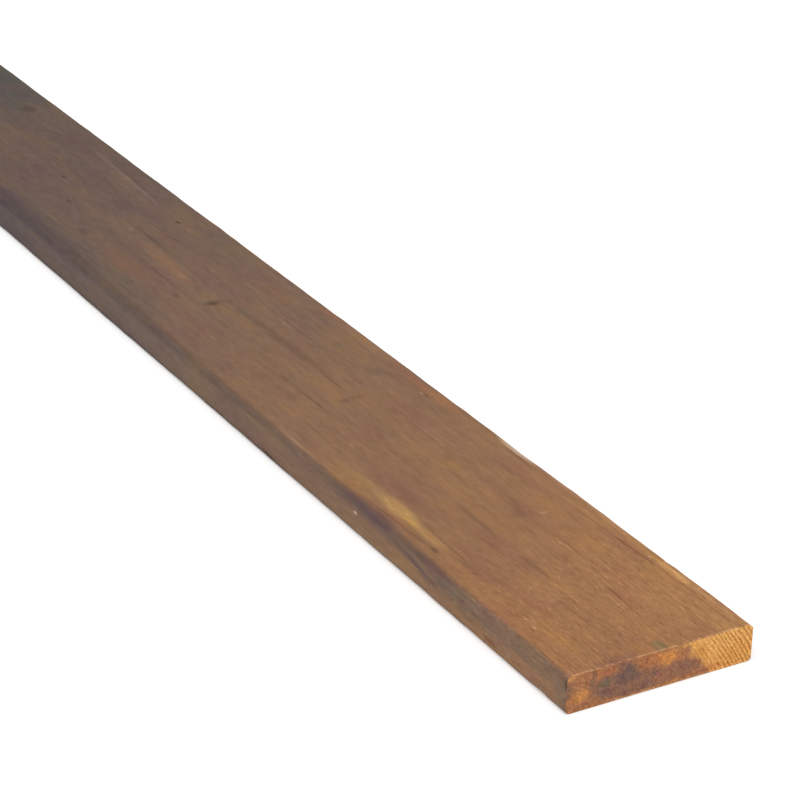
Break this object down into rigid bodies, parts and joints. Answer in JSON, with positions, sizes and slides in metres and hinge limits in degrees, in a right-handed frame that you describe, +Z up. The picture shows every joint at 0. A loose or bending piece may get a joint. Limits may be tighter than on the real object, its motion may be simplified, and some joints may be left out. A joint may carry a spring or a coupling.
{
  "type": "cedar board",
  "caption": "Long flat planed cedar board with eased long edges and square-sawn ends, used as decking, trim or panelling stock.",
  "frame": {"origin": "middle of the underside", "axes": "+X along the grain towards the sawn end that the picture shows, +Y across the width, +Z up out of the top face"},
  "size_m": [2.4384, 0.1396, 0.027],
  "materials": {
    "cedar": "bare planed cedar, brown with orange-yellow streaks and purple-grey weather stains, orange end grain with growth rings"
  },
  "bodies": {
    "root": {"cedar_board": "cedar"}
  },
  "joints": []
}
